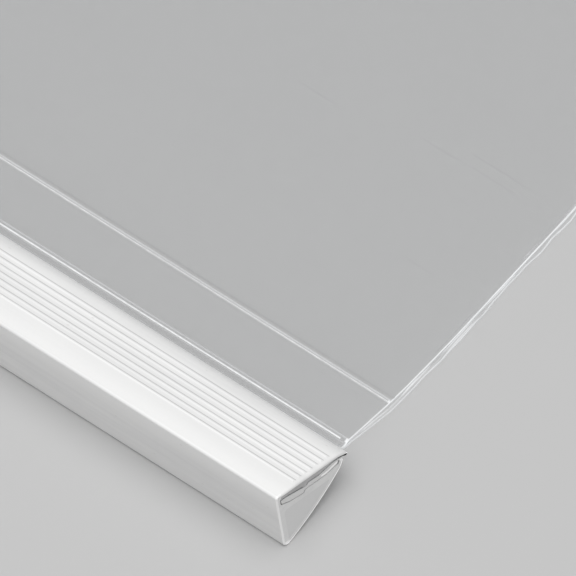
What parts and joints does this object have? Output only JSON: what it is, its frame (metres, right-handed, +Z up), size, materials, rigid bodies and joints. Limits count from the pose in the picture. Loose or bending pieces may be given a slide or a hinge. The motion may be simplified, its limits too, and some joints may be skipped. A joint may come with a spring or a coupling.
{
  "type": "sliding bar report cover",
  "caption": "Clear two-sheet report cover welded along its spine and held by a white slide bar of triangular section with a ribbed, springy grip leaf.",
  "frame": {"origin": "under the middle of the closed cover, on the surface that it lies on", "axes": "+Y along the slide bar, +X from the spine towards the covers' free edges, +Z up"},
  "size_m": [0.22, 0.31, 0.0131],
  "materials": {
    "white_plastic": "satin white, fine extrusion lines along the bar",
    "clear_film": "clear glossy film with bright cut edges and pressed creases"
  },
  "bodies": {
    "spine_edge": {"welded_spine_edge": "clear_film"},
    "bar": {"slide_bar": "white_plastic", "near_end_plug": "white_plastic", "far_end_plug": "white_plastic"},
    "leaf": {"grip_leaf": "white_plastic"},
    "front_strip": {"front_hinge_strip": "clear_film"},
    "front_panel": {"front_cover": "clear_film"},
    "back_strip": {"back_hinge_strip": "clear_film"},
    "back_panel": {"back_cover": "clear_film"}
  },
  "joints": [
    {"name": "bar_slide", "type": "slide", "parent": "spine_edge", "child": "bar", "axis": [0, 1, 0], "range_m": [-0.31, 0.31]},
    {"name": "grip_leaf_spring", "type": "hinge", "parent": "bar", "child": "leaf", "pos_m": [-0.10879, 0, 0.0128], "axis": [0, -1, 0], "range_deg": [0, 5], "stiffness_Nm_per_rad": 0.5},
    {"name": "front_spine_crease", "type": "hinge", "parent": "spine_edge", "child": "front_strip", "pos_m": [-0.09271, 0, 0.00496], "axis": [0, -1, 0], "range_deg": [0, 60]},
    {"name": "front_cover_crease", "type": "hinge", "parent": "front_strip", "child": "front_panel", "pos_m": [-0.08387, 0, 0.00327], "axis": [0, -1, 0], "range_deg": [0, 90]},
    {"name": "back_spine_crease", "type": "hinge", "parent": "spine_edge", "child": "back_strip", "pos_m": [-0.09238, 0, 0.00402], "axis": [0, 1, 0], "range_deg": [0, 60]},
    {"name": "back_cover_crease", "type": "hinge", "parent": "back_strip", "child": "back_panel", "pos_m": [-0.08382, 0, 0.00124], "axis": [0, 1, 0], "range_deg": [0, 90]}
  ]
}
